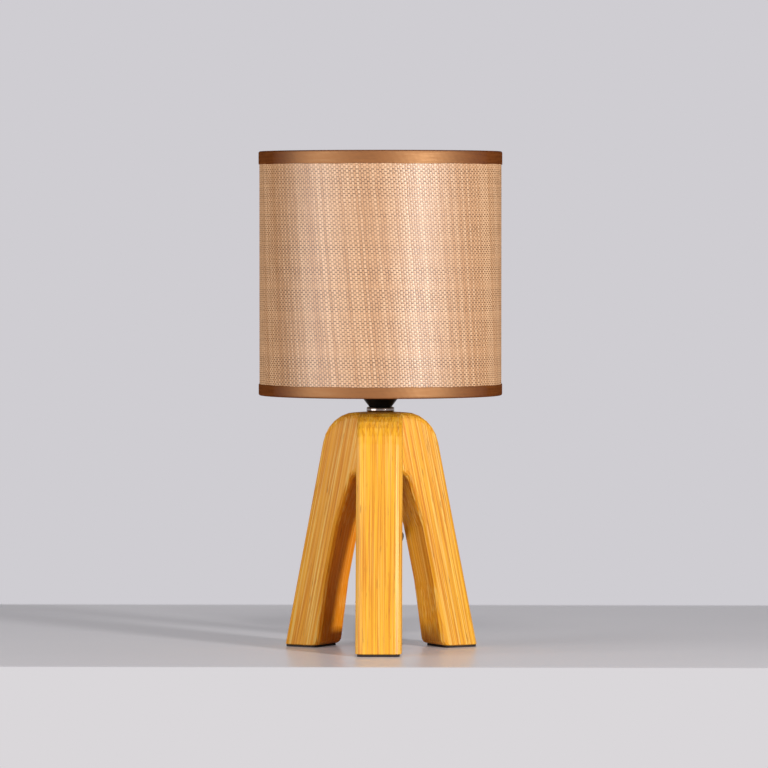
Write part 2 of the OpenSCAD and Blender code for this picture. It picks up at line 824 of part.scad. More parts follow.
module switch_cover() {
    roof_z = sw_cover_h - 3.9;
    cheek = 1.6;
    window_w = rocker_w + 2 * rocker_gap;
    window_l = 2 * (rocker_r + rocker_gap);
    color("#232022") at_switch() translate([0, 0, sw_base_h]) difference() {
        union() {
            difference() {
                cover_crown();
                translate([0, 0, -1]) linear_extrude(roof_z + 1) switch_outline(sw_wall);
            }
            for (p = screw_places) translate(p) cylinder(h = roof_z + 0.5, r = 2.4, $fn = 32);
            for (s = [-1, 1])
                translate([s * (window_w + cheek) / 2 - cheek / 2, -3, 1.6])
                    cube([cheek, 6, roof_z - 1]);
        }
        translate([-window_w / 2, -window_l / 2, -1]) cube([window_w, window_l, big]);
        translate([0, 0, pivot_z]) rotate([0, 90, 0])
            cylinder(h = window_w + 2 * cheek, r = pivot_d / 2 + pivot_gap, center = true, $fn = 32);
        neck_holes(0);
        for (p = screw_places) translate([p[0], p[1], -1])
            cylinder(h = roof_z + 0.5, r = 1.15 + seat_gap, $fn = 24);
    }
}

// Rocker at rest with its +Y end pressed down; its ends are round about the pivot
module switch_rocker() {
    dish = 0.9;
    top = 4;
    half = sqrt(rocker_r * rocker_r - (top + dish) * (top + dish));
    dish_r = (half * half + dish * dish) / (2 * dish);
    color("#141214") at_switch() translate([0, 0, sw_base_h + pivot_z])
        rotate([-rocker_tilt, 0, 0]) {
            difference() {
                rotate([0, 90, 0]) cylinder(h = rocker_w, r = rocker_r, center = true, $fn = 96);
                translate([-big / 2, -big / 2, -big - 1]) cube(big);
                translate([-big / 2, -big / 2, top + dish]) cube(big);
                translate([0, 0, top + dish_r]) rotate([0, 90, 0])
                    cylinder(h = big, r = dish_r, center = true, $fn = 180);
            }
            rotate([0, 90, 0])
                cylinder(h = rocker_w + 3, d = pivot_d, center = true, $fn = 32);
            translate([0, 0, -1]) rotate([0, 90, 0]) linear_extrude(4, center = true)
                polygon([[-0.5, -2], [2.2, -0.9], [2.2, 0.9], [-0.5, 2]]);
        }
}

// Two terminal blocks with a spring tongue each, under the rocker
module switch_contacts() {
    color("#c9a24a") at_switch() for (s = [-1, 1]) {
        translate([-2.5, s * 13 - 3, sw_wall + 0.05]) cube([5, 6, 2.8]);
        translate([-1.6, s > 0 ? 1 : -10.5, sw_wall + 2.25]) cube([3.2, 9.5, 0.6]);
    }
}

module switch_screws() {
    color("#b0b0b0") at_switch() for (p = screw_places) translate([p[0], p[1], 0.3]) {
        difference() {
            cylinder(h = 1.65, r = 1.9, $fn = 24);
            translate([-0.3, -3, -1]) cube([0.6, 6, 1.6]);
        }
        cylinder(h = sw_base_h + 3, r = 1.15, $fn = 24);
    }
}

// Tapered sleeve moulded on the lead, with a neck through the housing's end
module sleeve() {
    translate([0, sw_l / 2, sw_base_h]) rotate([-90, 0, 0]) {
        cylinder(h = sleeve_len, r1 = 4, r2 = lead_r + 0.5, $fn = 48);
        translate([0, 0, -sw_wall - 0.2]) cylinder(h = sw_wall + 0.3, r = neck_r, $fn = 32);
        translate([0, 0, -sw_wall - 1.2]) cylinder(h = 1.1, r = neck_r + 0.9, $fn = 32);
    }
}

module switch_sleeves() {
    color("#1c1a1c") at_switch() for (s = [0, 180]) rotate([0, 0, s]) sleeve();
}

// ---- Plug ----

module at_plug() {
    lay() translate([plug_x, plug_tip_y, plug_h / 2]) rotate([0, 0, 180]) children();
}

// Body and ribbed boot in one moulding, along +Y from the lead to the blades
module plug_body() {
    rib_pitch = 3.6;
    flare = (5 - lead_r - 0.6) / boot_len;
    color("#1e1b1c") at_plug() difference() {
        union() {
            plug_grip();
            rotate([-90, 0, 0])
                cylinder(h = boot_len + 1, r1 = lead_r + 0.6, r2 = 5, $fn = 48);
        }
        for (k = [0 : 4]) let (y = 3 + k * rib_pitch)
            translate([0, y, 0]) rotate([-90, 0, 0]) boot_groove(lead_r + 0.6 + y * flare);
        for (s = [-1, 1]) translate([s * blade_pitch / 2, boot_len + plug_l - 10, 0])
            blade_bar(2 * seat_gap, 12);
    }
}

// Waisted in plan and thinner towards the boot
module plug_grip() {
    thin = 5.4;
    full = plug_h / 2;
    grip_r = (plug_l * plug_l + (full - thin) * (full - thin)) / (2 * (full - thin));
    intersection() {
        translate([0, boot_len, -full]) linear_extrude(plug_h) polygon([
            [-5.5, 0], [5.5, 0], [8.5, 3], [9.3, 12], [plug_w / 2, 20], [plug_w / 2, plug_l],
            [-plug_w / 2, plug_l], [-plug_w / 2, 20], [-9.3, 12], [-8.5, 3]
        ]);
        translate([0, boot_len + plug_l, full - grip_r]) rotate([0, 90, 0])
            cylinder(h = big, r = grip_r, center = true, $fn = 720);
        translate([0, boot_len + plug_l, grip_r - full]) rotate([0, 90, 0])
            cylinder(h = big, r = grip_r, center = true, $fn = 720);
    }
}

module boot_groove(outer_r) {
    difference() {
        cylinder(h = 1.4, r = outer_r + 2, $fn = 48);
        translate([0, 0, -1]) cylinder(h = 4, r = outer_r - 0.5, $fn = 48);
    }
}

module blade_bar(gap, length) {
    translate([-(blade_t + gap) / 2, 0, -(blade_w + gap) / 2])
        cube([blade_t + gap, length, blade_w + gap]);
}

module plug_blades() {
    front = boot_len + plug_l;
    color("#cfcfd2") at_plug() for (s = [-1, 1])
        translate([s * blade_pitch / 2, front - 9, 0]) difference() {
            blade_bar(0, 9 + blade_len);
            translate([0, 9 + blade_len - 5, 0]) rotate([0, 90, 0])
                cylinder(h = blade_t + 2, r = 1.5, center = true, $fn = 32);
        }
}

leg_front();
leg_left();
leg_right();
foot_pad_front();
foot_pad_left();
foot_pad_right();
hub_dowels();
threaded_tube();
hub_washer();
hub_nut();
collar();
tube_bush();
holder_cap();
holder_skirt();
holder_insert();
screw_shell();
centre_contact();
terminal_screws();
grub_screw();
wire_live();
wire_neutral();
shade_clamp();
shade_carrier();
shade_top_ring();
shade_liner();
shade_cover();
tape_top();
tape_bottom();
lead_inside();
lead_drop();
lead_bridge();
lead_hank();
lead_tail();
hank_tie();
switch_base();
switch_cover();
switch_rocker();
switch_contacts();
switch_screws();
switch_sleeves();
plug_body();
plug_blades();
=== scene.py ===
import math

import bmesh
import bpy
from bpy.props import FloatProperty, FloatVectorProperty, IntProperty, PointerProperty
from mathutils import Matrix, Vector


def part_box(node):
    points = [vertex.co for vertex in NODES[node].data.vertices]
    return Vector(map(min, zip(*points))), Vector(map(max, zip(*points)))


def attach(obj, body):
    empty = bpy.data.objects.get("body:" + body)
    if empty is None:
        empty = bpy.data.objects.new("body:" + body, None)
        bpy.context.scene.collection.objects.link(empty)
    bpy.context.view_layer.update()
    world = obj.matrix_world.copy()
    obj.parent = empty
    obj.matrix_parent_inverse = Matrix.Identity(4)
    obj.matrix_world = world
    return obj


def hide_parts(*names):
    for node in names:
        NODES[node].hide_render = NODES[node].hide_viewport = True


bl_info = {
    "name": "Tripod Table Lamp",
    "version": (1, 0, 0),
    "blender": (4, 5, 0),
    "location": "3D View > Sidebar > Lamp",
    "description": "Small wooden tripod lamp: legs, drum shade, lampholder and folded lead",
    "category": "Object",
}

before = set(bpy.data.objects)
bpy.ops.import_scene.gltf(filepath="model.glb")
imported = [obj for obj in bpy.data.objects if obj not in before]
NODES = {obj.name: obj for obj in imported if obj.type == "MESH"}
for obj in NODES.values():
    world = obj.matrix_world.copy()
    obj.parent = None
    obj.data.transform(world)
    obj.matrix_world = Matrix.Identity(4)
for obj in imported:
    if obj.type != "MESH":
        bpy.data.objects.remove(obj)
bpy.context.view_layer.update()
MM = 0.001
LEVELS = 255


# ---- Values a user would change ----

def editor_colour(name, description, red, green, blue):
    """Colour property, written in the 0 to 255 values that a picture editor shows."""
    return FloatVectorProperty(
        name=name, description=description, subtype="COLOR_GAMMA", size=3, min=0, max=1,
        default=(red / LEVELS, green / LEVELS, blue / LEVELS),
    )


def length(name, description, millimetres):
    """Length property with its default in millimetres."""
    return FloatProperty(
        name=name, description=description, subtype="DISTANCE", unit="LENGTH",
        default=millimetres * MM, min=0, precision=5,
    )


def share(name, description, value):
    """Property between nothing and all."""
    return FloatProperty(
        name=name, description=description, subtype="FACTOR", default=value, min=0, max=1,
    )


class LampWood(bpy.types.PropertyGroup):
    """Timber, varnish and foot pads of the base."""

    light: editor_colour("Early wood", "Pale wood between the growth lines", 250, 185, 46)
    line: editor_colour("Late wood", "Darker wood of the growth lines", 210, 124, 14)
    pore: editor_colour("Pores", "Stain caught in the open pores", 150, 80, 10)
    fibre: editor_colour("Pale fibre", "Pale fibres between the grain lines", 255, 226, 130)
    # Painted shade: a deeper, redder colour mixed into the inner faces of the legs, standing in for
    # shade and warm bounce light under the arches.
    painted_shade: editor_colour("Inner stain", "Deeper stain on the inner face of a leg", 234, 122, 6)
    ring_pitch: length("Ring pitch", "Distance between two growth rings", 3.1)
    splay: FloatProperty(
        name="Splay", description="Lean of the legs, which the grain follows",
        subtype="ANGLE", default=math.radians(12.35), min=0, max=math.radians(30),
    )
    varnish: share("Varnish", "Strength of the satin varnish's gloss", 0.5)
    pads: editor_colour("Pads", "Rubber pads under the feet", 40.8, 30.6, 25.5)


class LampShade(bpy.types.PropertyGroup):
    """Cloth, bindings and lining of the shade."""

    thread: editor_colour("Thread", "Linen thread of the cover", 204, 154, 112)
    thread_pale: editor_colour("Pale thread", "Palest threads of the cover", 226, 182, 142)
    thread_gap: editor_colour("Gap", "Shadow between the threads", 52, 28, 12)
    warps: IntProperty(
        name="Warps", description="Upright threads round the shade", default=298, min=60, max=900,
    )
    weft_pitch: length("Weft pitch", "Height from one level thread to the next", 1.16)
    radius: length("Radius", "Mean radius of the cover", 69.3)
    tape: editor_colour("Binding", "Satin binding tape", 112, 62, 29)
    # The deep colour is partly a random tone and partly painted shade in the troughs of the tape's
    # ribs.
    tape_deep: editor_colour("Binding, deep", "Binding tape in its ribs", 94, 49, 22)
    lining: editor_colour("Lining", "Stiff sheet inside the shade", 240, 230, 214)
    lap: length("Lap", "Width of the cover's glued lap", 10)


class LampLead(bpy.types.PropertyGroup):
    """Round two-core lead."""

    diameter: length("Diameter", "Outside diameter of the jacket", 4.5)
    jacket: editor_colour("Jacket", "Jacket of the lead, its sleeves and its plug", 58, 32, 20)


class LampMetals(bpy.types.PropertyGroup):
    """Metals and plastics of the fittings."""

    chrome: editor_colour("Chrome", "Bright collar under the holder", 150, 138, 132)
    steel: editor_colour("Steel", "Zinc-plated screws, washer and tube", 198, 198, 200)
    brass: editor_colour("Brass", "Shell, contacts and nut", 222, 178, 96)
    holder: editor_colour("Holder", "Black moulding of the holder and switch", 10, 8, 8)
    insert: editor_colour("Insert", "Pale moulding inside the holder", 226, 214, 190)
    wire: editor_colour("Wire", "White coating of the shade's wires", 228, 226, 218)
    core_live: editor_colour("Live core", "Dark coating of one core", 40.8, 38.25, 38.25)
    core_neutral: editor_colour("Neutral core", "Pale coating of the other", 229.5, 224.4, 211.65)


class LampStage(bpy.types.PropertyGroup):
    """Floor, backdrop and lights."""

    floor: editor_colour("Floor", "Pale slab round the lamp", 245, 242, 245)
    sheen: editor_colour("Slab glow", "Even light that the slab gives back", 206, 203, 208)
    glow: share("Slab glow share", "How much of the slab is seen by its even light", 0.13)
    rim: editor_colour("Front strip", "Pale strip before the slab", 218, 215, 218)
    backdrop: editor_colour("Backdrop", "Pale backdrop", 207, 205, 210)
    room: FloatProperty(
        name="Room light", description="Level of the light that comes from all round",
        default=0.05, min=0, max=4,
    )
    right: FloatProperty(
        name="Right softbox", description="Power of the small softbox on the right",
        subtype="POWER", unit="POWER", default=19.7, min=0, max=500,
    )
    left: FloatProperty(
        name="Left softbox", description="Power of the large softbox on the left",
        subtype="POWER", unit="POWER", default=14.6, min=0, max=500,
    )


# ---- Finishes ----

MIX_FIRST, MIX_SECOND, MIX_RESULT = 6, 7, 2  # colour sockets of a Mix node


def linear(colour):
    """A picture editor's colour as the light it stands for, with full opacity."""
    return tuple(
        c / 12.92 if c <= 0.04045 else ((c + 0.055) / 1.055) ** 2.4 for c in colour
    ) + (1.0,)


def times(colour, factor, lift=0.0):
    """A linear colour made darker or paler, no further than white."""
    return tuple(min(1.0, c * factor + lift) for c in colour[:3]) + (1.0,)


def between(first, second, share_of_second):
    """A linear colour between two others."""
    return tuple(a * (1 - share_of_second) + b * share_of_second for a, b in zip(first, second))


class Finish:
    """A node material on a Principled shader, built one node at a time."""

    def __init__(self, name, slot, **shader):
        self.material = bpy.data.materials.new(name)
        self.material.use_nodes = True
        self.slot = slot
        self.tree = self.material.node_tree
        self.shader = self.tree.nodes["Principled BSDF"]
        self.place = self.node("TexCoord").outputs["Object"]
        for key, value in shader.items():
            self.shader.inputs[key.replace("_", " ")].default_value = value

    def node(self, kind, **settings):
        """A node, with its settings."""
        made = self.tree.nodes.new("ShaderNode" + kind)
        for key, value in settings.items():
            setattr(made, key, value)
        return made

    def fill(self, target, value):
        """Gives a socket a value, or a link from another socket."""
        if isinstance(value, bpy.types.NodeSocket):
            self.tree.links.new(value, target)
        else:
            target.default_value = value

    def math(self, operation, *values):
        """Result of a Math node."""
        made = self.node("Math", operation=operation)
        for target, value in zip(made.inputs, values):
            self.fill(target, value)
        return made.outputs[0]

    def vector(self, operation, *values, out="Vector"):
        """Result of a Vector Math node."""
        made = self.node("VectorMath", operation=operation)
        for target, value in zip(made.inputs, values):
            self.fill(target, value)
        return made.outputs[out]

    def turned(self, place, scale=(1, 1, 1), rotation=(0, 0, 0), shift=(0, 0, 0)):
        """Coordinates turned, scaled and shifted."""
        made = self.node("Mapping")
        for key, value in zip(
            ("Vector", "Location", "Rotation", "Scale"), (place, shift, rotation, scale)
        ):
            self.fill(made.inputs[key], value)
        return made.outputs[0]

    def parts(self, place):
        """X, Y and Z of a vector."""
        made = self.node("SeparateXYZ")
        self.fill(made.inputs[0], place)
        return made.outputs

    def joined(self, x, y, z):
        """Vector from its three parts."""
        made = self.node("CombineXYZ")
        for target, value in zip(made.inputs, (x, y, z)):
            self.fill(target, value)
        return made.outputs[0]

    def noise(self, place, scale, detail, roughness=0.5):
        """Smooth noise, from 0 to 1."""
        made = self.node("TexNoise")
        for key, value in (
            ("Vector", place), ("Scale", scale), ("Detail", detail), ("Roughness", roughness),
        ):
            self.fill(made.inputs[key], value)
        return made.outputs["Fac"]

    def chance(self, value):
        """Random number from 0 to 1 for each whole number."""
        made = self.node("TexWhiteNoise", noise_dimensions="1D")
        self.fill(made.inputs["W"], value)
        return made.outputs["Value"]

    def range(self, value, low, high, first=0.0, last=1.0, soft=True):
        """A value carried from one range to another, held at its ends."""
        made = self.node("MapRange", interpolation_type="SMOOTHSTEP" if soft else "LINEAR")
        for target, item in zip(made.inputs, (value, low, high, first, last)):
            self.fill(target, item)
        return made.outputs[0]

    def mix(self, share_of_second, first, second):
        """Mix of two colours."""
        made = self.node("Mix", data_type="RGBA")
        self.fill(made.inputs["Factor"], share_of_second)
        self.fill(made.inputs[MIX_FIRST], first)
        self.fill(made.inputs[MIX_SECOND], second)
        return made.outputs[MIX_RESULT]

    def sum_of(self, first, first_share, second, second_share):
        """Two numbers, each times its share, added."""
        return self.math(
            "ADD",
            self.math("MULTIPLY", first, first_share),
            self.math("MULTIPLY", second, second_share),
        )

    def bump(self, height, distance, strength=1.0):
        """Raises the surface by a height from 0 to 1."""
        made = self.node("Bump")
        self.fill(made.inputs["Strength"], strength)
        self.fill(made.inputs["Distance"], distance)
        self.fill(made.inputs["Height"], height)
        self.fill(self.shader.inputs["Normal"], made.outputs[0])

    def set(self, key, value):
        """Gives a socket of the shader a value or a link."""
        self.fill(self.shader.inputs[key], value)

    def gloss(self, straight, glancing, start=0.12, end=0.55):
        """Gloss seen straight on and at a glancing angle, and where it changes over."""
        level = straight
        if glancing != straight:
            facing = self.node("LayerWeight").outputs["Facing"]
            level = self.range(facing, start, end, straight, glancing)
        self.set("Specular IOR Level", level)


def wear(*nodes, finish):
    """Gives CAD nodes a finish."""
    for name in nodes:
        slots = NODES[name].material_slots
        if not slots:
            raise RuntimeError("no material slot on " + name)
        for slot in slots:
            slot.material = finish.material


def speckled(name, slot, colour, grain, depth, spread=0.12, **shader):
    """Moulded or plated surface: faint cloudiness, a fine texture and an uneven gloss."""
    finish = Finish(name, slot, **shader)
    cloud = finish.noise(finish.place, grain / 14, 3)
    fine = finish.noise(finish.place, grain, 2)
    dull = times(linear(colour), 1 - spread)
    pale = times(linear(colour), 1 + spread, 0.004)
    tone = finish.sum_of(cloud, 0.6, fine, 0.4)
    finish.set("Base Color", finish.mix(finish.range(tone, 0.3, 0.7), dull, pale))
    rough = finish.shader.inputs["Roughness"].default_value
    finish.set("Roughness", finish.range(cloud, 0.3, 0.7, rough * 0.88, rough * 1.12))
    finish.bump(fine, depth)
    return finish


def timber(
    name, slot, wood, turn, lean, shift, gloss=0.0, tone=0.0, flat=1.0, pale=0.3, inner=0.0,
):
    """Wood whose growth rings and pores run along a piece that leans from the vertical.

    turn and lean give the piece's direction, and shift its place in the plank. tone darkens the
    early wood, flat widens the streaks, pale is the share of pale fibres, and inner the share of
    painted shade on the side that looks at the lamp's axis.
    """
    finish = Finish(name, slot, Coat_Weight=gloss * 0.2, Coat_Roughness=0.2)
    finish.gloss(gloss, gloss * 0.25)
    along = (Matrix.Rotation(lean, 3, "Y") @ Matrix.Rotation(-turn, 3, "Z")).to_euler("XYZ")
    grain = finish.turned(finish.place, rotation=tuple(along), shift=shift)

    def drawn(across, lengthwise, place, detail, roughness=0.5, widened=1.0):
        """Noise drawn out along the grain, as changes in a metre across it and along it."""
        scale = (across * widened, across, lengthwise)
        return finish.noise(finish.turned(grain, scale=scale, shift=place), 1, detail, roughness)

    drift = drawn(26, 5, (0, 0, 0), 2)
    sway = drawn(14, 3, (5, 2, 9), 1)
    cloud = drawn(38, 12, (8, 1, 6), 2)
    streak = drawn(1250, 13, (0, 0, 0), 3, 0.7, widened=flat)
    band = drawn(300, 5, (3, 7, 1), 2, widened=flat)
    fibre = drawn(1500, 11, (6, 3, 8), 2, widened=flat)
    pores = drawn(1300, 90, (1, 4, 2), 1, widened=flat)

    x, y, _ = finish.parts(grain)
    off_x = finish.math("ADD", x, finish.range(sway, 0.25, 0.75, -0.006, 0.006, soft=False))
    off_y = finish.math("ADD", y, finish.range(drift, 0.25, 0.75, -0.005, 0.005, soft=False))
    radius = finish.vector("LENGTH", finish.joined(off_x, off_y, 0.0), out="Value")
    ring = finish.math("DIVIDE", radius, wood.ring_pitch)
    phase = finish.math("FRACT", ring)
    rise = finish.math("POWER", phase, 2.2)
    fall = finish.range(phase, 0.9, 1.0, 1.0, 0.0)
    late = finish.math("MULTIPLY", rise, fall)
    strength = finish.chance(finish.math("FLOOR", ring))
    late = finish.math("MULTIPLY", late, finish.range(strength, 0, 1, 0.35, 1.0, soft=False))

    line = linear(wood.line)
    light = between(linear(wood.light), line, tone)
    warm = between(light, line, 0.15)
    colour = finish.mix(finish.range(cloud, 0.3, 0.7), light, warm)
    colour = finish.mix(finish.math("MULTIPLY", late, 0.4), colour, line)
    colour = finish.mix(finish.range(band, 0.48, 0.68, 0.0, 0.35), colour, line)
    colour = finish.mix(finish.range(streak, 0.44, 0.62, 0.0, 0.85), colour, line)
    colour = finish.mix(finish.range(fibre, 0.5, 0.66, 0.0, pale), colour, linear(wood.fibre))
    # Painted shade: faces that look towards the lamp's axis are mixed towards the deeper, redder
    # colour, standing in for shade and bounce light.
    if inner:
        inward = (-math.cos(turn), -math.sin(turn), 0.0)
        normal = finish.node("TexCoord").outputs["Normal"]
        facing = finish.vector("DOT_PRODUCT", normal, inward, out="Value")
        painted_shade_share = finish.range(facing, 0.3, 0.9, 0.0, inner)
        colour = finish.mix(painted_shade_share, colour, linear(wood.painted_shade))
    dashes = finish.range(pores, 0.66, 0.8, 0.0, 0.7)
    finish.set("Base Color", finish.mix(dashes, colour, linear(wood.pore)))
    finish.set("Roughness", finish.range(streak, 0.3, 0.7, 0.36, 0.5))
    finish.bump(finish.sum_of(streak, 0.5, dashes, -1.0), 0.00006, 0.6)
    return finish


def round_shade(finish):
    """Angle round the shade's axis, from its front, and height."""
    x, y, z = finish.parts(finish.place)
    return finish.math("ARCTAN2", x, finish.math("MULTIPLY", y, -1.0)), z


def weave(shade):
    """Plain linen weave wrapped round the shade, each thread of its own width and tone."""
    finish = Finish("woven_linen", "linen")
    angle, z = round_shade(finish)
    wobble = finish.noise(finish.place, 160, 2)
    sag = finish.noise(finish.turned(finish.place, shift=(0.4, 0.1, 0.2)), 110, 2)
    warp = finish.sum_of(angle, shade.warps / (2 * math.pi), z, 60.0)
    warp = finish.math("ADD", warp, finish.range(wobble, 0.2, 0.8, -0.25, 0.25, soft=False))
    weft = finish.math("DIVIDE", z, shade.weft_pitch)
    weft = finish.math("ADD", weft, finish.range(sag, 0.2, 0.8, -0.3, 0.3, soft=False))

    def thread(count, along, seed, thick):
        """Rounded profile of one set of threads, each thread's own number, and its slubs."""
        number = finish.math("ADD", finish.math("FLOOR", count), seed)
        own = finish.chance(number)
        slub = finish.noise(finish.joined(finish.math("MULTIPLY", number, 3.71), along, 0.0), 1, 1)
        width = finish.math(
            "ADD",
            finish.range(own, 0, 1, thick - 0.05, thick + 0.05, soft=False),
            finish.range(slub, 0.3, 0.7, -0.07, 0.07, soft=False),
        )
        aside = finish.math("SUBTRACT", finish.math("FRACT", count), 0.5)
        ratio = finish.math("DIVIDE", finish.math("MULTIPLY", aside, 2.0), width)
        bulge = finish.math("SUBTRACT", 1.0, finish.math("MULTIPLY", ratio, ratio))
        return finish.math("MAXIMUM", bulge, 0.0), own, slub

    warp_bulge, warp_own, warp_slub = thread(warp, finish.math("MULTIPLY", z, 90.0), 11.0, 1.0)
    weft_bulge, weft_own, _ = thread(weft, finish.math("MULTIPLY", angle, 6.0), 500.0, 0.74)
    over = finish.math(
        "MULTIPLY",
        finish.math("SINE", finish.math("MULTIPLY", warp, math.pi)),
        finish.math("SINE", finish.math("MULTIPLY", weft, math.pi)),
    )
    warp_high = finish.math("MULTIPLY", warp_bulge, finish.math("MULTIPLY_ADD", over, 0.5, 0.5))
    weft_high = finish.math("MULTIPLY", weft_bulge, finish.math("MULTIPLY_ADD", over, -0.5, 0.5))
    height = finish.math("MAXIMUM", warp_high, weft_high)
    on_top = finish.range(finish.math("SUBTRACT", warp_high, weft_high), -0.25, 0.05)

    # Painted shadow: the gap colour fills the low places between the threads, and the level threads
    # are mixed towards it at random, so they read darker.
    pale, deep, gap_shadow = (linear(c) for c in (shade.thread_pale, shade.thread, shade.thread_gap))
    crossing = between(deep, gap_shadow, 0.7)
    own_tone = finish.range(finish.math("ADD", warp_own, warp_slub), 0.4, 1.6)
    warp_tone = finish.mix(own_tone, deep, pale)
    weft_tone = finish.mix(finish.range(weft_own, 0, 1.8), crossing, deep)
    colour = finish.mix(on_top, weft_tone, warp_tone)
    colour = finish.mix(finish.range(height, 0.0, 0.22), gap_shadow, colour)
    cloud = finish.noise(finish.turned(finish.place, shift=(2, 3, 1)), 24, 3)
    colour = finish.mix(finish.range(cloud, 0.4, 0.75, 0.0, 0.25), colour, times(deep, 0.86))
    finish.set("Base Color", colour)
    finish.set("Roughness", finish.range(height, 0.0, 1.0, 0.56, 0.34, soft=False))
    finish.gloss(0.85, 0.0)
    finish.bump(height, 0.00012, 0.8)
    return finish


def satin_tape(shade):
    """Binding tape: fine slanting ribs and small creases in a satin face."""
    finish = Finish(
        "satin_binding", "binding_tape", IOR=1.85, Specular_Tint=(1.0, 0.56, 0.26, 1.0),
    )
    angle, z = round_shade(finish)
    run = finish.math("MULTIPLY", angle, shade.radius)

    def along(run_scale, height_scale):
        """Noise with its own scale along the tape and across it."""
        run_part = finish.math("MULTIPLY", run, run_scale)
        return finish.noise(
            finish.joined(run_part, finish.math("MULTIPLY", z, height_scale), 0.0), 1, 2,
        )

    rib = finish.math("SINE", finish.sum_of(run, 1500.0, z, 1100.0))
    rib = finish.math("MULTIPLY_ADD", rib, 0.5, 0.5)
    pull = along(60.0, 900.0)
    crease = along(130.0, 40.0)
    # The deep colour is laid at random by pull, and stays in the rib troughs while the crests are
    # lifted towards the plain colour: random tone, with painted shade in the ribs.
    deep, plain = linear(shade.tape_deep), linear(shade.tape)
    tone = finish.mix(finish.range(pull, 0.3, 0.7), deep, plain)
    finish.set("Base Color", finish.mix(finish.math("MULTIPLY", rib, 0.35), tone, plain))
    finish.set("Roughness", finish.range(pull, 0.3, 0.7, 0.51, 0.61))
    finish.gloss(1.0, 0.0)
    finish.bump(finish.sum_of(rib, 0.15, crease, 0.85), 0.00018, 0.6)
    return finish


# ---- Making ----

def add_object(name, data, body, finish):
    """Puts a new piece in the scene, riding on a body."""
    piece = bpy.data.objects.new(name, data)
    bpy.context.scene.collection.objects.link(piece)
    data.materials.append(finish.material)
    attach(piece, body)
    return piece


def smoothed(mesh, degrees):
    """Smooth shading that keeps edges sharper than an angle."""
    mesh.polygons.foreach_set("use_smooth", [True] * len(mesh.polygons))
    mesh.set_sharp_from_angle(angle=math.radians(degrees))
    return mesh


def swept(name, sections, degrees, closed=False):
    """Mesh of rings of points, joined in order; an open sweep is capped at its ends."""
    build = bmesh.new()
    rings = [[build.verts.new(point) for point in section] for section in sections]
    pairs = list(zip(rings, rings[1:] + rings[:1]))
    for ring, after in pairs if closed else pairs[:-1]:
        for a, b, c, d in zip(ring, ring[1:] + ring[:1], after[1:] + after[:1], after):
            build.faces.new((a, b, c, d))
    if not closed:
        build.faces.new(rings[0])
        build.faces.new(list(reversed(rings[-1])))
    bmesh.ops.recalc_face_normals(build, faces=build.faces)
    mesh = bpy.data.meshes.new(name)
    build.to_mesh(mesh)
    build.free()
    return smoothed(mesh, degrees)


def polar(turn, radius, height):
    """Point at an angle in degrees, a radius and a height in millimetres."""
    a = math.radians(turn)
    return Vector((radius * math.cos(a), radius * math.sin(a), height)) * MM


def step(value, low, high):
    """Smooth rise from 0 to 1 between two values."""
    t = max(0.0, min(1.0, (value - low) / (high - low)))
    return t * t * (3 - 2 * t)


# ---- Stage ----

CAMERA_LENS, CAMERA_SENSOR, CAMERA_REACH = 250.4, 36, 100
CAMERA_PLACE = (0.06635, -3.0693, 0.2469)
CAMERA_TURN = (math.radians(88.24), 0, math.radians(1.2))
FLOOR_REACH, FLOOR_CELLS, FLOOR_DROP = 6, 8, 0.0001
SLAB_FRONT, SLAB_BACK, SLAB_SIDES = (-0.1205, -0.1305), (0.340, 0.362), (0.5, 0.8)
LIGHT_AIM = Vector((0, 0, 0.15))
SOFTBOXES = {  # degrees to the side, degrees up, distance and size in metres
    "softbox_right": (40, 10, 1.5, (0.16, 0.3)),
    "softbox_left": (-58, 7, 1.5, (1.1, 0.8)),
}


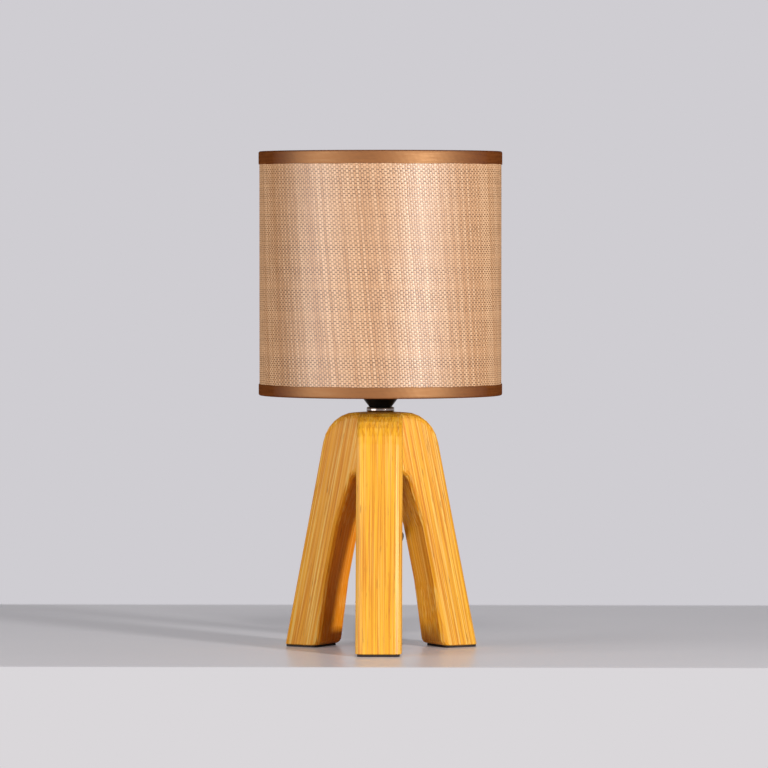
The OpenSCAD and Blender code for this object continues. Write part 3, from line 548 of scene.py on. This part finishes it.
class LAMP_OT_stage(bpy.types.Operator):
    """Set the floor, the backdrop, two softboxes and the camera"""

    bl_idname = "lamp.stage"
    bl_label = "Stage and camera"

    def execute(self, context):
        values = context.scene.lamp_stage
        context.scene.view_settings.view_transform = "Standard"
        self.camera(context)
        self.backdrop(context, values)
        self.floor(context, values)
        self.softbox(context, "softbox_right", values.right)
        self.softbox(context, "softbox_left", values.left)
        return {"FINISHED"}

    def camera(self, context):
        """Long lens, level with the middle of the shade and a little to the right."""
        camera = bpy.data.objects.new("camera", bpy.data.cameras.new("camera"))
        camera.data.lens = CAMERA_LENS
        camera.data.sensor_width = CAMERA_SENSOR
        camera.data.clip_end = CAMERA_REACH
        camera.location = CAMERA_PLACE
        camera.rotation_euler = CAMERA_TURN
        context.scene.collection.objects.link(camera)
        context.scene.camera = camera

    def backdrop(self, context, values):
        """World that shows the backdrop's colour, and lights with an even grey."""
        world = bpy.data.worlds.new("studio")
        context.scene.world = world
        world.use_nodes = True
        nodes, links = world.node_tree.nodes, world.node_tree.links
        seen = nodes["Background"]
        seen.inputs["Color"].default_value = linear(values.backdrop)
        lit = nodes.new("ShaderNodeBackground")
        lit.inputs["Color"].default_value = (1, 0.99, 1, 1)
        lit.inputs["Strength"].default_value = values.room
        chooser = nodes.new("ShaderNodeMixShader")
        links.new(self.looking(nodes, links), chooser.inputs[0])
        links.new(lit.outputs[0], chooser.inputs[1])
        links.new(seen.outputs[0], chooser.inputs[2])
        links.new(chooser.outputs[0], nodes["World Output"].inputs[0])

    def looking(self, nodes, links):
        """1 where the surface is seen by eye, in a reflection or through glass."""
        path = nodes.new("ShaderNodeLightPath")
        seen = path.outputs["Is Camera Ray"]
        for ray in ("Is Glossy Ray", "Is Transmission Ray"):
            larger = nodes.new("ShaderNodeMath")
            larger.operation = "MAXIMUM"
            links.new(seen, larger.inputs[0])
            links.new(path.outputs[ray], larger.inputs[1])
            seen = larger.outputs[0]
        return seen

    def floor(self, context, values):
        """Wide floor: a slab round the lamp, a pale strip before it and the backdrop beyond."""
        build = bmesh.new()
        bmesh.ops.create_grid(
            build, x_segments=FLOOR_CELLS, y_segments=FLOOR_CELLS, size=FLOOR_REACH,
        )
        mesh = bpy.data.meshes.new("floor")
        build.to_mesh(mesh)
        build.free()
        floor = bpy.data.objects.new("floor", mesh)
        floor.location = (0, 0, -FLOOR_DROP)
        context.scene.collection.objects.link(floor)

        finish = Finish("floor_paint", "floor", Roughness=0.3)
        finish.gloss(0.0, 0.6, start=0.88, end=0.955)
        cloud = finish.noise(finish.place, 5, 3)
        base = linear(values.floor)
        base = finish.mix(finish.range(cloud, 0.3, 0.7), times(base, 0.96), base)
        finish.set("Base Color", base)
        x, y, _ = finish.parts(finish.place)
        behind = finish.range(y, *SLAB_BACK)
        before = finish.range(y, *SLAB_FRONT)
        aside = finish.range(finish.math("ABSOLUTE", x), *SLAB_SIDES)
        away = finish.math("MAXIMUM", finish.math("MAXIMUM", behind, before), aside)
        backdrop = linear(values.backdrop)
        shown = finish.mix(behind, linear(values.sheen), backdrop)
        shown = finish.mix(aside, shown, backdrop)
        shown = finish.mix(before, shown, linear(values.rim))
        nodes, links = finish.tree.nodes, finish.tree.links
        glow = nodes.new("ShaderNodeEmission")
        links.new(shown, glow.inputs["Color"])
        blend = nodes.new("ShaderNodeMixShader")
        part = finish.math("MAXIMUM", away, values.glow)
        links.new(finish.math("MULTIPLY", part, self.looking(nodes, links)), blend.inputs[0])
        links.new(finish.shader.outputs[0], blend.inputs[1])
        links.new(glow.outputs[0], blend.inputs[2])
        links.new(blend.outputs[0], nodes["Material Output"].inputs[0])
        mesh.materials.append(finish.material)

    def softbox(self, context, name, power):
        """Soft light at an angle to the side and up, facing the lamp."""
        side, up, distance, size = SOFTBOXES[name]
        light = bpy.data.lights.new(name, "AREA")
        light.shape = "RECTANGLE"
        light.size, light.size_y = size
        light.energy = power
        box = bpy.data.objects.new(name, light)
        a, e = math.radians(side), math.radians(up)
        way = Vector((math.sin(a) * math.cos(e), -math.cos(a) * math.cos(e), math.sin(e)))
        box.location = LIGHT_AIM + way * distance
        box.rotation_euler = way.to_track_quat("Z", "Y").to_euler()
        box.visible_camera = False
        context.scene.collection.objects.link(box)


# ---- Lead ----

# The lead's own frame is turned with the camera, so that the front leg hides the hank. All
# lengths here are in millimetres, and marks along a run are shares of it.
LAY_TURN = math.radians(1.2)
LAY_X = -1.35
FOLD_R, FOLD_STEPS, CURVE_STEPS = 11.3, 6, 4
NEAR_Y, RUN_LEN = 127, 90
FAR_Y = NEAR_Y + RUN_LEN
LAYER_PITCH, LAYERS, WAIST_IN, WAIST_LIFT, LEAD_R = 5.05, 4, 2.4, 1.1, 2.25
RUN_MARKS = (0.2, 0.35, 0.5, 0.65, 0.8)
DROP_ROUTE = (
    (0, 0, 93.2), (0, 0, 88.2), (0.74, 1.4, 81.5), (2.6, 5, 74.7), (5.12, 10, 69.4),
    (7.16, 14.5, 66.8), (8.93, 19, 65.6), (10.23, 23, 65), (11.07, 27, 64.3), (11.35, 31, 63.3),
    (11.07, 35, 61.7), (10.23, 39, 59.3), (8.93, 43, 55.9), (7.35, 47, 51.5), (5.49, 51.5, 46.1),
    (3.72, 56, 40.6), (2.23, 60, 36.1), (0.93, 64, 32.4), (-0.15, 68, 29.55), (-0.95, 72, 28),
    (-1.35, 76, 27.4), (-1.35, 80, 27.4),
)
BRIDGE_ROUTE = (
    (-1.35, 172, 27.4), (-1.35, 176, 27.4), (-1, 180, 27.1), (0, 184, 26.2), (1.9, 188, 24.5),
    (4.3, 191, 22.4), (6.7, 194, 20.3), (8.6, 198, 18.6), (9.6, 202, 17.7), (9.95, 206, 17.4),
)
TAIL_ROUTE = (
    (-12.65, 122, 2.25), (-12.4, 112, 2.25), (-11.4, 102, 2.25), (-9.5, 92, 2.25), (-7, 82, 2.6),
    (-4.5, 72, 3.8), (-2.5, 62, 5.8), (-1.3, 53, 7.6), (-1.1, 47.5, 8), (-1.1, 43, 8),
)


def laid(point):
    """A point of the lead's own frame, in millimetres, in the lamp's frame."""
    return Matrix.Rotation(LAY_TURN, 3, "Z") @ (Vector(point) * MM)


def hank_route():
    """Layers of the folded lead, from the top one down to the floor."""
    route = []
    for level in range(LAYERS, 0, -1):
        z = LEAD_R + LAYER_PITCH * (level - 1)
        route += fold_points(1, FAR_Y, z)
        route += [run_point(-1, u, z) for u in RUN_MARKS]
        if level > 1:
            route += fold_points(-1, NEAR_Y, z)
            route += [
                run_point(1, u, z - LAYER_PITCH * (1 - math.cos(math.pi * run_share(u))) / 2)
                for u in RUN_MARKS
            ]
    return route + [(LAY_X - FOLD_R, NEAR_Y, LEAD_R)]


def run_share(u):
    """How far along its free length a place on a run is."""
    return max(0.0, min(1.0, (u - 0.2) / 0.6))


def fold_points(side, y, z):
    """Half turn at one end of the hank."""
    angles = [math.pi * k / FOLD_STEPS for k in range(FOLD_STEPS + 1)]
    return [
        (LAY_X + side * FOLD_R * math.cos(a), y + side * FOLD_R * math.sin(a), z) for a in angles
    ]


def run_point(side, u, z):
    """Point on a straight run, drawn in towards the tie."""
    waist = (1 - math.cos(2 * math.pi * run_share(u))) / 2
    y = NEAR_Y + RUN_LEN * u if side > 0 else FAR_Y - RUN_LEN * u
    return (LAY_X + side * (FOLD_R - WAIST_IN * waist), y, z + WAIST_LIFT * waist)


def smooth_route(points):
    """Points along one smooth curve through a route's points."""
    points = [laid(point) for point in points]
    padded = [points[0] * 2 - points[1]] + points + [points[-1] * 2 - points[-2]]
    line = []
    for a, b, c, d in zip(padded, padded[1:], padded[2:], padded[3:]):
        ta = 0.0
        tb = ta + (b - a).length ** 0.5
        tc = tb + (c - b).length ** 0.5
        td = tc + (d - c).length ** 0.5
        for k in range(CURVE_STEPS):
            t = tb + (tc - tb) * k / CURVE_STEPS
            ab = a.lerp(b, (t - ta) / (tb - ta))
            bc = b.lerp(c, (t - tb) / (tc - tb))
            cd = c.lerp(d, (t - tc) / (td - tc))
            abc = ab.lerp(bc, (t - ta) / (tc - ta))
            bcd = bc.lerp(cd, (t - tb) / (td - tb))
            line.append(abc.lerp(bcd, (t - tb) / (tc - tb)))
    return line + [points[-1]]


class LAMP_OT_lead(bpy.types.Operator):
    """Lay the lead: down to the switch, over to the hank, and back to the plug"""

    bl_idname = "lamp.lead"
    bl_label = "Lead"

    def execute(self, context):
        values = context.scene.lamp_lead
        finish = speckled(
            "lead_jacket_finish", "lead_jacket", values.jacket, 900, 0.00004,
            Roughness=0.55, Specular_IOR_Level=0.18,
        )
        upper = smooth_route(DROP_ROUTE)
        drop = self.curve("lead_upper", upper, values.diameter, finish)
        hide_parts("lead_drop")
        lower = smooth_route(BRIDGE_ROUTE + tuple(hank_route()) + TAIL_ROUTE)
        folded = self.curve("lead_lower", lower, values.diameter, finish)
        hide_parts("lead_bridge", "lead_hank", "lead_tail")
        wear("lead_inside", finish=finish)
        return {"FINISHED"}

    def curve(self, name, line, diameter, finish):
        """Round lead along a line of points."""
        data = bpy.data.curves.new(name, "CURVE")
        data.dimensions = "3D"
        data.bevel_depth = diameter / 2
        data.bevel_resolution = 5
        data.use_fill_caps = True
        spline = data.splines.new("POLY")
        spline.points.add(len(line) - 1)
        for point, place in zip(spline.points, line):
            point.co = (*place, 1)
        return add_object(name, data, "lamp", finish)


class LAMP_OT_switch(bpy.types.Operator):
    """Finish the in-line switch, its sleeves, the tie and the plug"""

    bl_idname = "lamp.switch"
    bl_label = "Switch and plug"

    def execute(self, context):
        metals, lead = context.scene.lamp_metals, context.scene.lamp_lead
        case = speckled(
            "switch_case", "black_plastic", metals.holder, 2600, 0.00005,
            Roughness=0.46, Specular_IOR_Level=0.35,
        )
        wear("switch_base", "switch_cover", "hank_tie", finish=case)
        rocker = speckled(
            "switch_rocker_gloss", "gloss_black", metals.holder, 500, 0.00001,
            Roughness=0.16, Coat_Weight=0.3, Coat_Roughness=0.08,
        )
        wear("switch_rocker", finish=rocker)
        rubber = speckled(
            "plug_moulding", "lead_jacket", lead.jacket, 1500, 0.00005,
            Roughness=0.5, Specular_IOR_Level=0.45,
        )
        wear("switch_sleeves", "plug_body", finish=rubber)
        return {"FINISHED"}


# ---- Base ----

class LAMP_OT_base(bpy.types.Operator):
    """Finish the three legs, their dowels and their pads"""

    bl_idname = "lamp.base"
    bl_label = "Wooden base"

    def execute(self, context):
        wood = context.scene.lamp_wood
        # inner is each leg's share of painted shade on its inner face; the left leg gets the most.
        for name, turn, shift, gloss, grain in (
            ("leg_front", -90, (-0.022, 0.105, 0.3), 1.0, {"flat": 0.25}),
            ("leg_left", 150, (0.035, 0.094, 1.7), 0.35, {"tone": 0.3, "pale": 0.55, "inner": 0.5}),
            ("leg_right", 30, (0.012, 0.118, 2.9), 0.6, {"tone": 0.15, "pale": 0.5, "inner": 0.1}),
        ):
            finish = timber(
                name + "_timber", "varnished_wood", wood, math.radians(turn), wood.splay,
                shift, wood.varnish * gloss, **grain,
            )
            wear(name, finish=finish)
        dowels = timber(
            "dowel_timber", "dowel_wood", wood, 0.0, math.radians(90), (0.01, 0.08, 0.5),
        )
        wear("hub_dowels", finish=dowels)
        pads = speckled(
            "pad_rubber_finish", "pad_rubber", wood.pads, 1400, 0.00008,
            spread=0.25, Roughness=0.85,
        )
        wear("foot_pad_front", "foot_pad_left", "foot_pad_right", finish=pads)
        return {"FINISHED"}


class LAMP_OT_fixings(bpy.types.Operator):
    """Finish the tube, washer, nut, collar, bush and screws"""

    bl_idname = "lamp.fixings"
    bl_label = "Metal fixings"

    def execute(self, context):
        metals = context.scene.lamp_metals
        chrome = speckled(
            "chrome_plate", "chrome", metals.chrome, 240, 0.00001, spread=0.05,
            Metallic=1.0, Roughness=0.16,
        )
        wear("collar", finish=chrome)
        steel = speckled(
            "zinc_plate", "plated_steel", metals.steel, 700, 0.00003, spread=0.14,
            Metallic=1.0, Roughness=0.34,
        )
        wear(
            "threaded_tube", "hub_washer", "grub_screw", "terminal_screws", "switch_screws",
            "plug_blades", finish=steel,
        )
        brass = speckled(
            "bright_brass", "brass", metals.brass, 420, 0.00002, spread=0.16,
            Metallic=1.0, Roughness=0.26,
        )
        wear("hub_nut", "centre_contact", "switch_contacts", finish=brass)
        moulding = speckled(
            "bush_moulding", "black_plastic", metals.holder, 2200, 0.00004,
            Roughness=0.5,
        )
        wear("tube_bush", finish=moulding)
        return {"FINISHED"}


# ---- Lampholder ----

class LAMP_OT_holder(bpy.types.Operator):
    """Finish the lampholder, and cut its threads"""

    bl_idname = "lamp.holder"
    bl_label = "Lampholder"

    def execute(self, context):
        metals = context.scene.lamp_metals
        moulding = speckled(
            "holder_moulding", "black_plastic", metals.holder, 1900, 0.00003,
            Roughness=0.33, Specular_IOR_Level=0.12,
        )
        wear("holder_cap", "holder_skirt", "shade_clamp", finish=moulding)
        insert = speckled(
            "insert_moulding", "insert_plastic", metals.insert, 1200, 0.00004, Roughness=0.6,
        )
        wear("holder_insert", finish=insert)
        for node, name, slot, colour in (
            ("wire_live", "core_dark", "core_black", metals.core_live),
            ("wire_neutral", "core_pale", "core_white", metals.core_neutral),
        ):
            wear(node, finish=speckled(name, slot, colour, 900, 0.00002, Roughness=0.4))

        brass = speckled(
            "shell_brass", "brass", metals.brass, 420, 0.00002, spread=0.16,
            Metallic=1.0, Roughness=0.26,
        )
        shell = add_object("rolled_shell", self.rolled_shell(), "lamp", brass)
        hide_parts("screw_shell")
        add_object("skirt_thread", self.skirt_thread(), "lamp", moulding)
        return {"FINISHED"}

    def rolled_shell(self):
        """Brass shell with its thread rolled in, on a plain cone."""
        low, top = (corner[2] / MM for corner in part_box("screw_shell"))
        cone, pitch, depth, rows = low + 2.6, 2.54, 0.24, 56
        outside, inside, foot_outside, foot_hole, sheet = 6.36, 6.08, 3.6, 2.6, 0.4
        sections = []
        for turn in range(0, 360, 6):
            outer, inner = [], []
            for k in range(rows + 1):
                z = cone + (top - cone) * k / rows
                fade = step(z, cone, cone + 1.2) * (1 - step(z, top - 1.4, top - 0.3))
                wave = depth * fade * math.sin(2 * math.pi * (z / pitch - turn / 360))
                outer.append(polar(turn, outside + wave, z))
                inner.append(polar(turn, inside + wave, z))
            foot = [polar(turn, foot_outside, low), polar(turn, foot_hole, low)]
            lip = [polar(turn, foot_hole, low + sheet), polar(turn, 3.35, low + sheet)]
            sections.append(outer[::-1] + foot + lip + inner)
        return swept("rolled_shell", sections, degrees=35, closed=True)

    def skirt_thread(self):
        """Coarse moulded thread above the clamp ring."""
        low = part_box("shade_clamp")[1][2] / MM + 1.2
        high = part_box("holder_skirt")[1][2] / MM - 2.1
        pitch, root, crest, steps_a_turn, run_out = 1.75, 13.1, 13.72, 60, 20
        turns = (high - low) / pitch
        count = int(turns * steps_a_turn)
        sections = []
        for k in range(count + 1):
            turn = 360 * turns * k / count
            z = low + (high - low) * k / count
            rise = min(step(k, 0, run_out), 1 - step(k, count - run_out, count))
            out = root + (crest - root) * rise
            sections.append([
                polar(turn, root, z - 0.75), polar(turn, out, z - 0.25),
                polar(turn, out, z + 0.25), polar(turn, root, z + 0.75),
            ])
        return swept("skirt_thread", sections, degrees=50)


# ---- Shade ----

SHADE_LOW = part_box("tape_bottom")[0][2] / MM
SHADE_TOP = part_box("tape_top")[1][2] / MM
SEAM = 90.0
LAP_LIFT = 0.5
ARM_TURNS = (90, 210, 330)
ARM_MARKS = (-2.2, -1.7, -1.4, 1.4, 1.7, 2.2)
TAPE_START, TAPE_OVER, TAPE_STEPS = SEAM + 16, 7.0, 176


def lap_degrees(values):
    """Width of the cover's lap as an angle."""
    return math.degrees(values.lap / values.radius)


def apart(first, second):
    """Angle between two directions, in degrees."""
    return abs((first - second + 180) % 360 - 180)


class LAMP_OT_cover(bpy.types.Operator):
    """Wrap the woven cover round the shade, with a glued lap at the back"""

    bl_idname = "lamp.cover"
    bl_label = "Woven cover"

    def execute(self, context):
        values = context.scene.lamp_shade
        cover = add_object("woven_cover", self.wrap(values), "shade", weave(values))
        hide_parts("shade_cover")
        return {"FINISHED"}

    def wrap(self, values):
        """One sheet round the drum, its last part lying over its start."""
        lap = lap_degrees(values)
        middle, half_thick = values.radius / MM, 0.2
        low, high = SHADE_LOW + 0.5, SHADE_TOP - 0.5
        count, rows = 180, 24
        sections = []
        for k in range(count + 1):
            turn = (360 + lap) * k / count
            lift = (LAP_LIFT - 0.05) * step(turn, 352, 359.5)
            outer, inner = [], []
            for row in range(rows + 1):
                z = low + (high - low) * row / rows
                outer.append(polar(SEAM - lap / 2 + turn, middle + half_thick + lift, z))
                inner.append(polar(SEAM - lap / 2 + turn, middle - half_thick + lift, z))
            sections.append(outer + inner[::-1])
        return swept("woven_cover", sections, degrees=50)


class LAMP_OT_bindings(bpy.types.Operator):
    """Fold the binding tape over the shade's two edges"""

    bl_idname = "lamp.bindings"
    bl_label = "Bindings"

    def execute(self, context):
        values = context.scene.lamp_shade
        finish = satin_tape(values)
        for name, node, edge, way, outer, arms in (
            ("binding_top", "tape_top", SHADE_TOP, -1, 7.5, ()),
            ("binding_bottom", "tape_bottom", SHADE_LOW, 1, 6.5, ARM_TURNS),
        ):
            mesh = self.folded(name, values, edge, way, outer, arms)
            tape = add_object(name, mesh, "shade", finish)
            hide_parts(node)
        return {"FINISHED"}

    def folded(self, name, values, edge, way, outer, arms):
        """Tape folded over one edge; its end lies over its start beside the cover's lap."""
        lap = lap_degrees(values)
        turns = [(360 + TAPE_OVER) * k / TAPE_STEPS for k in range(TAPE_STEPS + 1)]
        turns += [(arm + mark - TAPE_START) % 360 for arm in arms for mark in ARM_MARKS]
        sections = []
        for turn in sorted(turns):
            real = TAPE_START + turn
            lift = LAP_LIFT * (1 - step(apart(real, SEAM), lap / 2, lap / 2 + 2.0))
            own = 0.48 * step(turn, 353, 359.5)
            notch = min([1.0] + [step(apart(real, arm), 1.4, 1.7) for arm in arms])
            a = math.radians(real)
            wave = 0.10 * math.sin(9 * a + 0.4) + 0.07 * math.sin(23 * a + 1.3)
            inner_leg = 0.5 + (4.0 + 0.12 * math.sin(11 * a)) * notch
            sections.append([
                polar(real, r, edge + way * h)
                for r, h in self.section(outer + wave, inner_leg, lift, own)
            ])
        return swept(name, sections, degrees=38)

    def section(self, outer, inner, lift, own):
        """Closed section: outside leg, rolled edge, inside leg, and back along the inside.

        outer and inner are the depths of the two legs, lift raises the outside leg over the
        cover's lap, and own raises the tape's end over its start.
        """
        out, top, back = 70.0 + lift + own, -own, 65.55 - own
        points = [(out - 0.15, outer), (out, outer - 0.15)]
        points += [(out, outer * 0.75), (out, outer * 0.5), (out, outer * 0.3)]
        for k in range(6):
            a = math.radians(90 * k / 5)
            points.append((out - 1.0 + math.cos(a), top + 1.0 - math.sin(a)))
        points.append(((out + back) / 2, top - 0.04))
        for k in range(6):
            a = math.radians(90 * k / 5)
            points.append((back + 0.9 - 0.9 * math.sin(a), top + 0.9 - 0.9 * math.cos(a)))
        points += [(back, max(0.95, inner * 0.6)), (back, max(1.0, inner))]
        points += [(back + 0.45, max(1.0, inner)), (back + 0.45, 0.95), (back + 0.55, top + 0.6)]
        points += [(back + 0.8, top + 0.45), (out - 0.75, top + 0.45), (out - 0.5, top + 0.5)]
        points += [(out - 0.45, 0.75), (out - 0.45, outer * 0.5), (out - 0.42, outer)]
        return points


class LAMP_OT_shade_frame(bpy.types.Operator):
    """Finish the lining and the coated wires of the shade"""

    bl_idname = "lamp.shade_frame"
    bl_label = "Lining and wires"

    def execute(self, context):
        shade, metals = context.scene.lamp_shade, context.scene.lamp_metals
        coat = speckled(
            "wire_coating", "white_wire", metals.wire, 1600, 0.00006, spread=0.05,
            Roughness=0.38, Specular_IOR_Level=0.5,
        )
        wear("shade_carrier", "shade_top_ring", finish=coat)
        lining = speckled(
            "lining_sheet", "liner_sheet", shade.lining, 420, 0.00004, spread=0.06,
            Roughness=0.55,
        )
        wear("shade_liner", finish=lining)
        return {"FINISHED"}


class LAMP_PT_pieces(bpy.types.Panel):
    """Lists the lamp's pieces in the sidebar"""

    bl_idname = "LAMP_PT_pieces"
    bl_label = "Tripod table lamp"
    bl_space_type = "VIEW_3D"
    bl_region_type = "UI"
    bl_category = "Lamp"

    def draw(self, context):
        for operator in OPERATORS:
            self.layout.operator(operator.bl_idname, text=operator.bl_label)
        for name in GROUPS:
            box = self.layout.box()
            values = getattr(context.scene, name)
            for key in values.__annotations__:
                box.prop(values, key)


GROUPS = {
    "lamp_stage": LampStage,
    "lamp_lead": LampLead,
    "lamp_wood": LampWood,
    "lamp_metals": LampMetals,
    "lamp_shade": LampShade,
}
OPERATORS = (
    LAMP_OT_stage,
    LAMP_OT_lead,
    LAMP_OT_switch,
    LAMP_OT_base,
    LAMP_OT_fixings,
    LAMP_OT_holder,
    LAMP_OT_cover,
    LAMP_OT_bindings,
    LAMP_OT_shade_frame,
)


def register():
    for group in GROUPS.values():
        bpy.utils.register_class(group)
    for operator in OPERATORS:
        bpy.utils.register_class(operator)
    bpy.utils.register_class(LAMP_PT_pieces)
    for name, group in GROUPS.items():
        setattr(bpy.types.Scene, name, PointerProperty(type=group))


def unregister():
    for name in GROUPS:
        delattr(bpy.types.Scene, name)
    bpy.utils.unregister_class(LAMP_PT_pieces)
    for operator in reversed(OPERATORS):
        bpy.utils.unregister_class(operator)
    for group in reversed(GROUPS.values()):
        bpy.utils.unregister_class(group)


def main():
    register()
    bpy.ops.lamp.stage()
    bpy.ops.lamp.lead()
    bpy.ops.lamp.switch()
    bpy.ops.lamp.base()
    bpy.ops.lamp.fixings()
    bpy.ops.lamp.holder()
    bpy.ops.lamp.cover()
    bpy.ops.lamp.bindings()
    bpy.ops.lamp.shade_frame()


if __name__ == "__main__":
    main()
